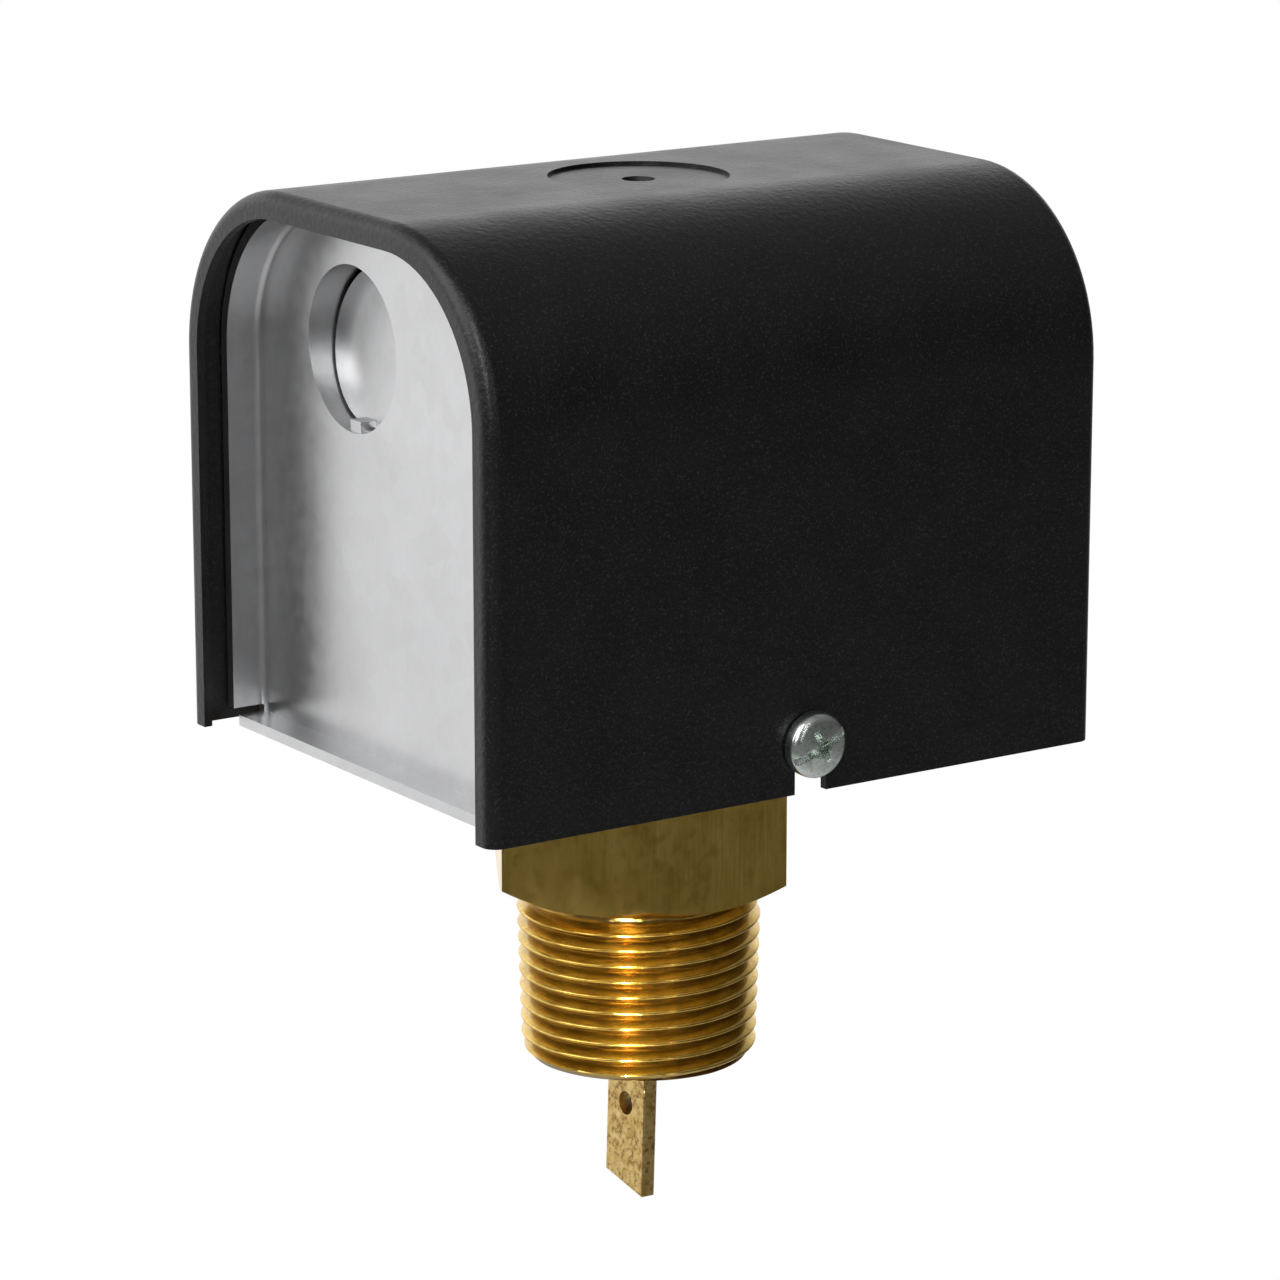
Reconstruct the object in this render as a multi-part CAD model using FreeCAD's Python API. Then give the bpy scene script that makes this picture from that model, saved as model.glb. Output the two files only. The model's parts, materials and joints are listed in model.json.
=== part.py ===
import FreeCAD, Part
import math
import os
from FreeCAD import Vector

# Paddle flow switch for a pipe tee, in millimetres.
# Origin: on the pipe thread's axis, at the underside of the hexagon. +Z is up, away from the pipe.
# X runs along the housing and along the flow (upstream is -X), Y across it.

UP = Vector(0, 0, 1)
ALONG = Vector(1, 0, 0)
ACROSS = Vector(0, 1, 0)
ORIGIN = Vector(0, 0, 0)

# Cover: a folded hood of powder-coated steel
cover_length = 95.2
cover_width = 75.7
cover_top_z = 96.3
cover_bottom_z = 20.8
cover_corner_radius = 23.8
cover_sheet = 1.2
cover_lip = 3.6
cover_bend_radius = 2.0
notch_width = 4.9
top_knockout_radius = 12.0
top_knockout_step = 0.5
top_dimple_radius = 2.2
top_dimple_depth = 0.7

# Steel frame: floor and two end plates
frame_sheet = 1.5
cover_clearance = 0.3
plate_face_x = 37.8
plate_flange_depth = 4.9
plate_bend_radius = 2.6
plate_bottom_z = 20.2
plate_foot_depth = 4.3
corner_relief = 1.8
floor_z = 24.0
floor_flange_height = 9.5
floor_tab_width = 30.0
floor_tab_height = 8.0
knockout_radius = 11.1
knockout_y = 10.5
knockout_z = 75.4
knockout_gap = 0.45
knockout_tilt = 6.7
knockout_set_in = 2.6
knockout_tie_width = 2.6
knockout_tie_recess = 0.4
knockout_tie_foot = 0.8
knockout_tie_height = 2.4
knockout_collar_depth = 3.4
knockout_collar_wall = 1.0
screw_collar_radius = 3.3
screw_collar_depth = 1.3

# Brass pipe body: 1 inch taper thread (1 in 16) under a 1 1/2 inch hexagon
hex_flats = 38.1
hex_height = 24.0
hex_chamfer_angle = 30
thread_top_radius = 16.7
thread_length = 24.0
thread_end_chamfer = 1.2
thread_taper = 1.0 / 32
thread_neck_radius = 15.4
thread_neck_length = 1.2
bore_radius = 11.0
spigot_radius = 13.0
joint_screw_offset = 11.0
joint_screw_length = 12.0

# Stack on top of the floor: gasket, bellows flange, yoke
gasket_thickness = 0.5
gasket_radius = 18.0
flange_thickness = 1.2
neck_outer_radius = 6.0
neck_inner_radius = 5.2
neck_bottom_z = 22.5
yoke_half = 15.5
yoke_sheet = 1.5
yoke_gap = 5.3
yoke_ear_half = 4.5
yoke_ear_radius = 3.6
yoke_corner_radius = 3.0
yoke_window_half = 7.0
stop_tab_x = 13.0
stop_tab_half = 3.0

# Bellows
bellows_wall = 0.25
bellows_pitch = 2.0
bellows_count = 6
bellows_crest_radius = 7.4
bellows_root_radius = 6.1
cuff_length = 3.0

# Rocker: paddle arm, socket, stem, hub, lever
pivot_z = 32.0
pivot_pin_radius = 1.5
pivot_pin_overhang = 1.6
pivot_clip_radius = 3.0
pivot_clip_play = 0.1
pivot_clip_thickness = 0.7
pivot_clip_mouth_half = 0.9
running_clearance = 0.05
arm_width = 9.0
arm_thickness = 2.1
arm_bottom_z = -44.0
arm_shear = 1.7
arm_top_z = 4.0
arm_tilt = 1.8
arm_edge_radius = 0.25
paddle_hole_radius = 1.6
paddle_hole_z = -31.7
socket_radius = 5.3
socket_bottom_z = -3.0
socket_collar_radius = 7.0
socket_collar_z = 6.0
socket_spigot_z = 7.5
socket_chamfer = 0.5
rivet_radius = 1.25
rivet_z = 0.5
rivet_upset = 0.2
stem_radius = 2.5
stem_bottom_z = 5.0
stem_top_z = 30.2
hub_half = 3.5
hub_half_width = 4.9
hub_collar_radius = 4.0
hub_collar_z = 25.0
lever_screw_radius = 1.45
lever_screw_depth = 1.2
lever_sheet = 1.2
lever_half_width = 4.8
lever_bottom_z = 35.0
lever_right_x = 17.0
lever_riser_x = -21.2
lever_shelf_z = 45.0
lever_left_x = -33.0
lever_shelf_half_width = 6.5
lever_bend_radius = 1.6
lever_nose_radius = 3.0
lever_prong_radius = 1.5
lever_waist_from_x = -15.2
fork_half_gap = 2.7
fork_root_x = -24.2

# Range adjustment, on the upstream side
range_x = -27.0
range_screw_radius = 2.08
range_screw_bottom_z = 26.5
seat_bottom_z = 28.0
seat_thickness = 3.0
seat_half_length = 6.0
seat_half_width = 6.5
seat_corner_radius = 2.0
seat_play = 0.1
seat_lip_height = 1.2
seat_lip_gap = 0.2
spring_end_gap = 0.05
range_clip_radius = 4.0
range_clip_thickness = 0.8
range_clip_play = 0.3
range_screw_play = 0.1
spring_mean_radius = 4.2
spring_wire_radius = 0.45
spring_wire_sides = 8
spring_turns = 6.0

# Snap switch and its bracket
switch_left_x = -19.4
switch_length = 49.2
switch_width = 17.5
switch_bottom_z = 40.0
switch_height = 24.2
switch_wall_height = 4.5
switch_wall_half = 1.1
switch_wall_inset = 0.8
switch_end_wall = 1.5
switch_corner_radius = 1.5
switch_parting_z = 52.2
switch_parting_width = 0.5
switch_parting_depth = 0.4
terminal_pitch = 11.0
terminal_pair_from_right = 24.5
terminal_middle_from_right = 13.0
terminal_plate_half_length = 3.8
terminal_plate_half_width = 6.4
terminal_plate_thickness = 1.0
terminal_corner_radius = 1.2
plunger_x = 12.0
plunger_radius = 1.75
plunger_gap = 0.1
plunger_bore_top_z = 46.5
plunger_stroke_room = 2.0
plunger_nose_radius = 1.2
bushing_radius = 4.5
bushing_height = 1.5
switch_hole_spacing = 25.4
switch_hole_z = 46.0
switch_screw_radius = 2.0
terminal_screw_radius = 1.4
terminal_screw_length = 5.0
sheet_insulator = 0.3
insulator_below = 1.5
insulator_above = 6.0
insulator_left = 0.3
insulator_right = 1.0
bracket_sheet = 1.5
bracket_left_x = -33.0
bracket_right_x = 32.0
bracket_top_z = 62.0
bracket_foot_depth = 14.0
bracket_leg_width = 13.0
bracket_window_z = 38.0
bracket_shelf_z = 56.0
bracket_shelf_right_x = -21.0
bracket_shelf_half_width = 6.0
bracket_shelf_corner_radius = 2.5
bracket_notch_depth = 1.5
bracket_window_radius = 4.0
bracket_bend_radius = 1.4

# Fasteners: head radius, head height, shank radius
COVER_SCREW = (4.35, 2.7, 2.05)
SMALL_SCREW = (3.4, 2.4, 2.05)
GROUND_SCREW = (4.6, 2.4, 2.05)
LEVER_SCREW = (2.8, 1.8, lever_screw_radius)
RANGE_SCREW = (4.2, 2.6, range_screw_radius)
SWITCH_SCREW = (3.4, 2.2, switch_screw_radius)
TERMINAL_SCREW = (3.2, 2.0, terminal_screw_radius)
screw_tip_reach = 1.0
ground_screw_x = 26.0
ground_screw_y = -24.0
cover_screw_x = 1.2
cover_screw_z = 27.4
cover_screw_length = 5.0
screw_back_off = 0.15

# Heights that follow
floor_top_z = floor_z + frame_sheet
gasket_top_z = floor_top_z + gasket_thickness
flange_top_z = gasket_top_z + flange_thickness
yoke_top_z = flange_top_z + yoke_sheet
half_width = cover_width / 2
frame_half_width = half_width - cover_sheet - cover_clearance
frame_top_z = cover_top_z - cover_sheet - cover_clearance
frame_corner_radius = cover_corner_radius - cover_sheet - cover_clearance
bracket_y = switch_width / 2 + sheet_insulator
bracket_back_y = bracket_y + bracket_sheet
switch_right_x = switch_left_x + switch_length
switch_top_z = switch_bottom_z + switch_height
switch_body_top_z = switch_top_z - switch_wall_height


def box(x, y, z):
    """Box from three (low, high) pairs."""
    size = [high - low for low, high in (x, y, z)]
    return Part.makeBox(size[0], size[1], size[2], Vector(x[0], y[0], z[0]))


def rod(radius, low, high, axis=UP, at=ORIGIN):
    """Cylinder along an axis, from low to high on it, through the point at."""
    return Part.makeCylinder(radius, high - low, at + axis * low, axis)


def prism(points, direction):
    """Polygon through the points, extruded along the direction."""
    wire = Part.makePolygon(points + points[:1])
    return Part.Face(wire).extrude(direction)


def turned(profile):
    """Solid of revolution about Z from (radius, z) points."""
    points = [Vector(radius, 0, z) for radius, z in profile]
    return Part.Face(Part.makePolygon(points + points[:1])).revolve(ORIGIN, UP, 360)


def arch(half, low, top, radius, x_from, x_to):
    """Prism along X with upright sides, a flat top and round upper corners."""
    shoulder = top - radius
    flat = half - radius
    diagonal = radius * math.sqrt(0.5)

    def at(y, z):
        return Vector(x_from, y, z)

    edges = [
        Part.LineSegment(at(half, low), at(half, shoulder)),
        Part.Arc(at(half, shoulder), at(flat + diagonal, shoulder + diagonal), at(flat, top)),
        Part.LineSegment(at(flat, top), at(-flat, top)),
        Part.Arc(at(-flat, top), at(-flat - diagonal, shoulder + diagonal), at(-half, shoulder)),
        Part.LineSegment(at(-half, shoulder), at(-half, low)),
        Part.LineSegment(at(-half, low), at(half, low)),
    ]
    wire = Part.Wire([edge.toShape() for edge in edges])
    return Part.Face(wire).extrude(Vector(x_to - x_from, 0, 0))


def end_edges(solid, x_values, low):
    """The edges round an arch's ends, without the ones along its bottom."""
    chosen = []
    for edge in solid.Edges:
        box_of = edge.BoundBox
        at_end = any(abs(box_of.XMin - x) < 1e-4 and abs(box_of.XMax - x) < 1e-4 for x in x_values)
        if at_end and box_of.ZMax > low + 1e-4:
            chosen.append(edge)
    return chosen


def fillet_along(solid, radius, axis, test):
    """Fillet the straight edges parallel to an axis whose middle passes the test."""
    chosen = []
    for edge in solid.Edges:
        if len(edge.Vertexes) != 2:
            continue
        run = edge.Vertexes[1].Point - edge.Vertexes[0].Point
        if abs(abs(run.dot(axis)) - run.Length) < 1e-6 and test(edge.CenterOfMass):
            chosen.append(edge)
    return solid.makeFillet(radius, chosen)


def pan_screw(size, length):
    """Slotted pan-head screw standing on Z = 0, its shank going down."""
    head_radius, head_height, shank_radius = size
    rim = 0.45 * head_height
    shoulder = (0.9 * head_radius, 0.85 * head_height)
    crown = (0.6 * head_radius, head_height)
    slot_half = 0.13 * head_radius
    screw = turned([(0, -length), (shank_radius, -length), (shank_radius, 0), (head_radius, 0),
                    (head_radius, rim), shoulder, crown, (0, head_height)])
    return screw.cut(box((-head_radius, head_radius), (-slot_half, slot_half), (rim, head_height)))


def placed(solid, axis, at):
    """Turn a solid that stands on Z so that its +Z points along the axis, and move it."""
    copy = solid.copy()
    copy.Placement = FreeCAD.Placement(at, FreeCAD.Rotation(UP, axis))
    return copy


def cover():
    end_x = cover_length / 2
    below = cover_bottom_z - 1
    shell = arch(half_width, cover_bottom_z, cover_top_z, cover_corner_radius, -end_x, end_x)
    shell = shell.makeFillet(cover_bend_radius, end_edges(shell, (-end_x, end_x), cover_bottom_z))
    inner_x = end_x - cover_sheet
    inside = arch(half_width - cover_sheet, below, cover_top_z - cover_sheet,
                  cover_corner_radius - cover_sheet, -inner_x, inner_x)
    inside = inside.makeFillet(cover_bend_radius - cover_sheet, end_edges(inside, (-inner_x, inner_x), below))
    mouth = arch(half_width - cover_lip, below, cover_top_z - cover_lip,
                 cover_corner_radius - cover_lip, -end_x - 1, end_x + 1)
    shell = shell.cut(inside).cut(mouth)
    for side in (-1, 1):
        wall = (side * half_width - 2, side * half_width + 2)
        notch_x = (cover_screw_x - notch_width / 2, cover_screw_x + notch_width / 2)
        shell = shell.cut(box(notch_x, wall, (below, cover_screw_z)))
        shell = shell.cut(rod(notch_width / 2, wall[0], wall[1], ACROSS, Vector(cover_screw_x, 0, cover_screw_z)))
    under_z = cover_top_z - cover_sheet
    shell = shell.fuse(rod(top_knockout_radius, under_z - top_knockout_step, under_z + 0.1))
    shell = shell.cut(rod(top_knockout_radius, cover_top_z - top_knockout_step, cover_top_z + 1))
    dimple_z = cover_top_z - top_knockout_step - top_dimple_depth
    return shell.cut(rod(top_dimple_radius, dimple_z, cover_top_z))


def knockout_disc():
    """Half-sheared conduit disc, still tied to the plate at its foot and pushed in at its top."""
    outer_x = -plate_face_x
    foot_z = knockout_z - knockout_radius
    centre = Vector(0, knockout_y, knockout_z)
    disc = rod(knockout_radius - knockout_gap, outer_x + knockout_set_in,
               outer_x + knockout_set_in + frame_sheet, ALONG, centre)
    disc.rotate(Vector(outer_x + knockout_set_in, knockout_y, foot_z), ACROSS, knockout_tilt)
    tie_z = foot_z - knockout_tie_foot
    tie = box((outer_x + knockout_tie_recess, outer_x + knockout_set_in + frame_sheet),
              (knockout_y - knockout_tie_width / 2, knockout_y + knockout_tie_width / 2),
              (tie_z, tie_z + knockout_tie_height))
    return disc.fuse(tie)


def end_plate():
    """Left end plate: a shallow pan whose flange points outward, towards -X."""
    outer_x = -plate_face_x
    inner_x = outer_x + frame_sheet
    front_x = outer_x - plate_flange_depth
    below = cover_bottom_z - 1
    pan = arch(frame_half_width, cover_bottom_z, frame_top_z, frame_corner_radius, front_x, inner_x)
    pan = pan.makeFillet(plate_bend_radius, end_edges(pan, (inner_x,), cover_bottom_z))
    hollow = arch(frame_half_width - frame_sheet, below, frame_top_z - frame_sheet,
                  frame_corner_radius - frame_sheet, front_x - 1, outer_x)
    hollow = hollow.makeFillet(plate_bend_radius - frame_sheet, end_edges(hollow, (outer_x,), below))
    pan = pan.cut(hollow)
    for side in (-1, 1):
        corner_y = sorted((side * frame_half_width, side * (frame_half_width - corner_relief)))
        pan = pan.cut(box((front_x, outer_x - 0.2), corner_y, (cover_bottom_z, cover_bottom_z + corner_relief)))
    foot_half = frame_half_width - corner_relief
    foot_z = (plate_bottom_z, plate_bottom_z + frame_sheet)
    foot = box((outer_x - plate_foot_depth, inner_x), (-foot_half, foot_half), foot_z)
    foot = fillet_along(foot, frame_sheet - 0.2, ACROSS,
                        lambda middle: middle.x > outer_x and middle.z < plate_bottom_z + 0.1)
    pan = pan.cut(box((outer_x - 0.1, inner_x), (-foot_half, foot_half), foot_z))
    pan = pan.fuse(foot)
    centre = Vector(0, knockout_y, knockout_z)
    collar_x = inner_x + knockout_collar_depth
    pan = pan.fuse(rod(knockout_radius + knockout_collar_wall, inner_x - 0.1, collar_x, ALONG, centre))
    pan = pan.cut(rod(knockout_radius, outer_x - 0.5, collar_x + 0.5, ALONG, centre))
    return pan.fuse(knockout_disc()).removeSplitter()


def end_plate_right():
    """The same stamping, turned half round."""
    plate = end_plate()
    plate.rotate(ORIGIN, UP, 180)
    return plate


def base_plate():
    """Floor between the end plates, with side flanges for the cover screws and end tabs."""
    inner_x = plate_face_x - frame_sheet
    floor = box((-inner_x, inner_x), (-frame_half_width, frame_half_width),
                (floor_z, floor_z + floor_flange_height))
    trough_half = frame_half_width - frame_sheet
    floor = fillet_along(floor, frame_sheet, ALONG, lambda middle: middle.z < floor_z + 0.1)
    floor = floor.cut(box((-inner_x, inner_x), (-trough_half, trough_half), (floor_top_z, cover_top_z)))
    for side in (-1, 1):
        tab_x = sorted((side * (inner_x - frame_sheet), side * inner_x))
        floor = floor.fuse(box(tab_x, (-floor_tab_width / 2, floor_tab_width / 2),
                               (floor_top_z, floor_top_z + floor_tab_height)))
        collar_y = sorted((side * (trough_half - screw_collar_depth), side * (trough_half + 0.1)))
        hole_y = sorted((side * (trough_half - cover_screw_length), side * (frame_half_width + 1)))
        at = Vector(cover_screw_x, 0, cover_screw_z)
        floor = floor.fuse(rod(screw_collar_radius, collar_y[0], collar_y[1], ACROSS, at))
        floor = floor.cut(rod(COVER_SCREW[2], hole_y[0], hole_y[1], ACROSS, at))
    floor = floor.cut(rod(spigot_radius, floor_z - 1, floor_top_z + 1))
    for at in joint_screw_places() + bracket_screw_places() + [ground_screw_place()]:
        floor = floor.cut(rod(SMALL_SCREW[2], floor_z - 1, floor_top_z + 1, UP, Vector(at.x, at.y, 0)))
    return floor.removeSplitter()


def pipe_body():
    corner = hex_flats / math.sqrt(3)
    corners = [Vector(corner * math.cos(math.radians(60 * k)), corner * math.sin(math.radians(60 * k)), 0)
               for k in range(6)]
    hexagon = prism(corners, Vector(0, 0, hex_height))
    inner = hex_flats / 2
    rise = (corner - inner) * math.tan(math.radians(hex_chamfer_angle))
    envelope = turned([(0, 0), (inner, 0), (corner, rise), (corner, hex_height - rise), (inner, hex_height),
                       (0, hex_height)])
    hexagon = hexagon.common(envelope)
    end_radius = thread_top_radius - thread_length * thread_taper
    thread = turned([(0, 0), (thread_neck_radius, 0), (thread_neck_radius, -thread_neck_length / 2),
                     (thread_top_radius - thread_neck_length * thread_taper, -thread_neck_length),
                     (end_radius + thread_end_chamfer * thread_taper, thread_end_chamfer - thread_length),
                     (end_radius - thread_end_chamfer, -thread_length), (0, -thread_length)])
    spigot = rod(spigot_radius, hex_height, floor_top_z)
    body = hexagon.fuse(thread).fuse(spigot)
    body = body.cut(rod(bore_radius, -thread_length - 1, floor_top_z + 1))
    for at in joint_screw_places():
        body = body.cut(rod(SMALL_SCREW[2], yoke_top_z - joint_screw_length, floor_top_z, UP,
                            Vector(at.x, at.y, 0)))
    return body.removeSplitter()


def joint_screw_places():
    offset = joint_screw_offset
    return [Vector(x, y, yoke_top_z) for x in (-offset, offset) for y in (-offset, offset)]


def flange_gasket():
    gasket = rod(gasket_radius, floor_top_z, gasket_top_z).cut(rod(bore_radius, floor_top_z, gasket_top_z))
    return without_joint_screws(gasket)


def bellows_flange():
    flange = rod(gasket_radius, gasket_top_z, flange_top_z)
    flange = flange.fuse(rod(neck_outer_radius, neck_bottom_z, gasket_top_z))
    flange = flange.cut(rod(neck_inner_radius, neck_bottom_z, flange_top_z))
    return without_joint_screws(flange)


def without_joint_screws(solid):
    for at in joint_screw_places():
        solid = solid.cut(rod(SMALL_SCREW[2], floor_z, yoke_top_z, UP, Vector(at.x, at.y, 0)))
    return solid


def bellows():
    """Thin-walled tube with straight-sided folds between two plain cuffs."""
    cuff = neck_outer_radius + running_clearance
    half_fold = bellows_pitch / 4
    outside = [(cuff + bellows_wall, socket_spigot_z)]
    inside = [(cuff, socket_spigot_z)]
    for k in range(bellows_count):
        below = cuff if k == 0 else bellows_root_radius
        above = cuff if k == bellows_count - 1 else bellows_root_radius
        crest_z = socket_spigot_z + cuff_length + half_fold + k * bellows_pitch
        for face, wall in ((outside, bellows_wall), (inside, 0)):
            rise = half_fold - bellows_wall + wall
            crest = bellows_crest_radius + wall
            face += [(below + wall, crest_z - rise), (crest, crest_z - rise)]
            face += [(crest, crest_z + rise), (above + wall, crest_z + rise)]
    outside.append((cuff + bellows_wall, gasket_top_z))
    inside.append((cuff, gasket_top_z))
    return turned(outside + inside[::-1])


def pivot_yoke():
    """Square stamping with two ears folded up from its window, and a rest stop."""
    base = box((-yoke_half, yoke_half), (-yoke_half, yoke_half), (flange_top_z, yoke_top_z))
    base = fillet_along(base, yoke_corner_radius, UP, lambda middle: True)
    base = base.cut(box((-yoke_window_half, yoke_window_half), (-yoke_gap, yoke_gap),
                        (flange_top_z, yoke_top_z)))
    for side in (-1, 1):
        faces = sorted((side * yoke_gap, side * (yoke_gap + yoke_sheet)))
        ear = box((-yoke_ear_half, yoke_ear_half), faces, (flange_top_z, pivot_z))
        ear = ear.fuse(rod(yoke_ear_radius, faces[0], faces[1], ACROSS, Vector(0, 0, pivot_z)))
        ear = ear.cut(rod(pivot_pin_radius, faces[0], faces[1], ACROSS, Vector(0, 0, pivot_z)))
        base = base.fuse(ear)
    stop = box((stop_tab_x - yoke_sheet / 2, stop_tab_x + yoke_sheet / 2), (-stop_tab_half, stop_tab_half),
               (flange_top_z, lever_bottom_z - 0.1))
    return without_joint_screws(base.fuse(stop).removeSplitter())


def yoke_screws():
    screw = pan_screw(SMALL_SCREW, joint_screw_length)
    return Part.Compound([placed(screw, UP, at) for at in joint_screw_places()])


def pivot_pin():
    reach = yoke_gap + yoke_sheet + pivot_pin_overhang
    return rod(pivot_pin_radius, -reach, reach, ACROSS, Vector(0, 0, pivot_z))


def pivot_clips():
    """Two retaining rings just outside the yoke's ears."""
    rings = []
    near_y = yoke_gap + yoke_sheet + pivot_clip_play
    far_y = near_y + pivot_clip_thickness
    axis_at = Vector(0, 0, pivot_z)
    for side in (-1, 1):
        faces = sorted((side * near_y, side * far_y))
        ring = rod(pivot_clip_radius, faces[0], faces[1], ACROSS, axis_at)
        ring = ring.cut(rod(pivot_pin_radius, faces[0], faces[1], ACROSS, axis_at))
        mouth = box((-pivot_clip_mouth_half, pivot_clip_mouth_half), faces,
                    (pivot_z + pivot_pin_radius / 2, pivot_z + pivot_clip_radius + 1))
        rings.append(ring.cut(mouth))
    return Part.Compound(rings)


def arm_blank(low, high):
    """The arm's flat section between two heights, before it is tilted."""
    return box((-arm_thickness / 2, arm_thickness / 2), (-arm_width / 2, arm_width / 2), (low, high))


def tilt_arm(solid):
    """Lean the arm upstream about its upper end."""
    solid.rotate(Vector(0, 0, arm_top_z), ACROSS, arm_tilt)
    return solid


def paddle_arm():
    """Flat brass bar, its lower end sheared off slightly out of square."""
    half = arm_width / 2
    face = [Vector(-arm_thickness / 2, -half, arm_bottom_z),
            Vector(-arm_thickness / 2, half, arm_bottom_z + arm_shear),
            Vector(-arm_thickness / 2, half, arm_top_z),
            Vector(-arm_thickness / 2, -half, arm_top_z)]
    bar = prism(face, Vector(arm_thickness, 0, 0))
    bar = bar.cut(rod(paddle_hole_radius, -2, 2, ALONG, Vector(0, 0, paddle_hole_z)))
    bar = fillet_along(bar, arm_edge_radius, UP, lambda middle: True)
    bar = bar.common(box((-2, 2), (-half, half), (arm_bottom_z - 1, arm_top_z)))
    return tilt_arm(bar).cut(rivet_rod())


def rivet_rod():
    reach = socket_radius + rivet_upset
    return rod(rivet_radius, -reach, reach, ALONG, Vector(0, 0, rivet_z))


def arm_socket():
    """Turned brass end of the bellows, slotted across for the flat arm."""
    socket = turned([(0, socket_bottom_z), (socket_radius - socket_chamfer, socket_bottom_z),
                     (socket_radius, socket_bottom_z + socket_chamfer), (socket_radius, socket_collar_z),
                     (socket_collar_radius, socket_collar_z), (socket_collar_radius, socket_spigot_z),
                     (neck_outer_radius, socket_spigot_z),
                     (neck_outer_radius, socket_spigot_z + cuff_length), (0, socket_spigot_z + cuff_length)])
    socket = socket.cut(tilt_arm(arm_blank(socket_bottom_z - 1, arm_top_z)))
    socket = socket.cut(rod(stem_radius, stem_bottom_z, stem_top_z))
    return socket.cut(rivet_rod())


def arm_rivet():
    return rivet_rod()


def arm_stem():
    return rod(stem_radius, stem_bottom_z, stem_top_z)


def pivot_hub():
    """Block that turns on the pivot pin; its collar takes the stem and its top takes the lever."""
    block = box((-hub_half, hub_half), (-hub_half_width, hub_half_width), (pivot_z, lever_bottom_z))
    block = block.fuse(rod(hub_half, -hub_half_width, hub_half_width, ACROSS, Vector(0, 0, pivot_z)))
    block = block.fuse(rod(hub_collar_radius, hub_collar_z, pivot_z))
    block = block.cut(rod(hub_half * 2, lever_bottom_z, lever_bottom_z + hub_half))
    block = block.cut(rod(lever_screw_radius, lever_bottom_z - lever_screw_depth, lever_bottom_z))
    block = block.cut(rod(stem_radius, hub_collar_z - 1, stem_top_z))
    block = block.cut(rod(pivot_pin_radius + running_clearance, -hub_half_width, hub_half_width, ACROSS,
                          Vector(0, 0, pivot_z)))
    return block.removeSplitter()


def actuator_lever():
    """Folded strip: level under the plunger, stepped up to a fork that straddles the range screw."""
    low = lever_bottom_z
    high = low + lever_sheet
    shelf_low = lever_shelf_z
    shelf_high = shelf_low + lever_sheet
    riser = lever_riser_x
    outline = [(lever_right_x, low), (lever_right_x, high), (riser + lever_sheet, high),
               (riser + lever_sheet, shelf_high), (lever_left_x, shelf_high), (lever_left_x, shelf_low),
               (riser, shelf_low), (riser, low)]
    half = lever_shelf_half_width
    strip = prism([Vector(x, -half, z) for x, z in outline], Vector(0, 2 * half, 0))
    strip = fillet_along(strip, lever_bend_radius, ACROSS,
                         lambda middle: abs(middle.x - riser) < 0.1 and middle.z < low + 0.1)
    strip = fillet_along(strip, lever_bend_radius, ACROSS,
                         lambda middle: abs(middle.x - riser - lever_sheet) < 0.1 and middle.z > shelf_high - 0.1)
    for side in (-1, 1):
        spare_y = sorted((side * lever_half_width, side * (half + 1)))
        strip = strip.cut(box((lever_waist_from_x, lever_right_x + 1), spare_y, (low - 1, high + 1)))
    strip = fillet_along(strip, lever_nose_radius, UP, lambda middle: middle.x > lever_right_x - 0.1)
    strip = fillet_along(strip, lever_prong_radius, UP, lambda middle: middle.x < lever_left_x + 0.1)
    strip = strip.cut(box((lever_left_x - 1, fork_root_x), (-fork_half_gap, fork_half_gap),
                          (shelf_low - 1, shelf_high + 1)))
    strip = strip.cut(rod(fork_half_gap, shelf_low - 1, shelf_high + 1, UP, Vector(fork_root_x, 0, 0)))
    return strip.cut(rod(lever_screw_radius, low - 1, high + 1)).removeSplitter()


def lever_screw():
    screw = pan_screw(LEVER_SCREW, lever_sheet + lever_screw_depth)
    return placed(screw, UP, Vector(0, 0, lever_bottom_z + lever_sheet))


def range_screw():
    """Long slotted screw hung from the bracket's shelf."""
    top = bracket_shelf_z + bracket_sheet + range_screw_play
    return placed(pan_screw(RANGE_SCREW, top - range_screw_bottom_z), UP, Vector(range_x, 0, top))


def range_clip():
    """Retaining ring under the bracket's shelf, gripping the range screw."""
    top = bracket_shelf_z - range_clip_play
    at = Vector(range_x, 0, 0)
    ring = rod(range_clip_radius, top - range_clip_thickness, top, UP, at)
    return ring.cut(rod(range_screw_radius, top - range_clip_thickness, top, UP, at))


def spring_seat():
    """Oblong nut under the spring; its long edge slides on the bracket so that it can't turn."""
    top = seat_bottom_z + seat_thickness
    at = Vector(range_x, 0, 0)
    seat = box((range_x - seat_half_length, range_x + seat_half_length),
               (-seat_half_width, bracket_y - seat_play), (seat_bottom_z, top))
    seat = fillet_along(seat, seat_corner_radius, UP, lambda middle: middle.y < 0)
    lip_radius = spring_mean_radius - spring_wire_radius - seat_lip_gap
    lip = rod(lip_radius, top, top + seat_lip_height, UP, at)
    bore = rod(range_screw_radius + running_clearance, seat_bottom_z, top + seat_lip_height, UP, at)
    return seat.fuse(lip).cut(bore)


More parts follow.
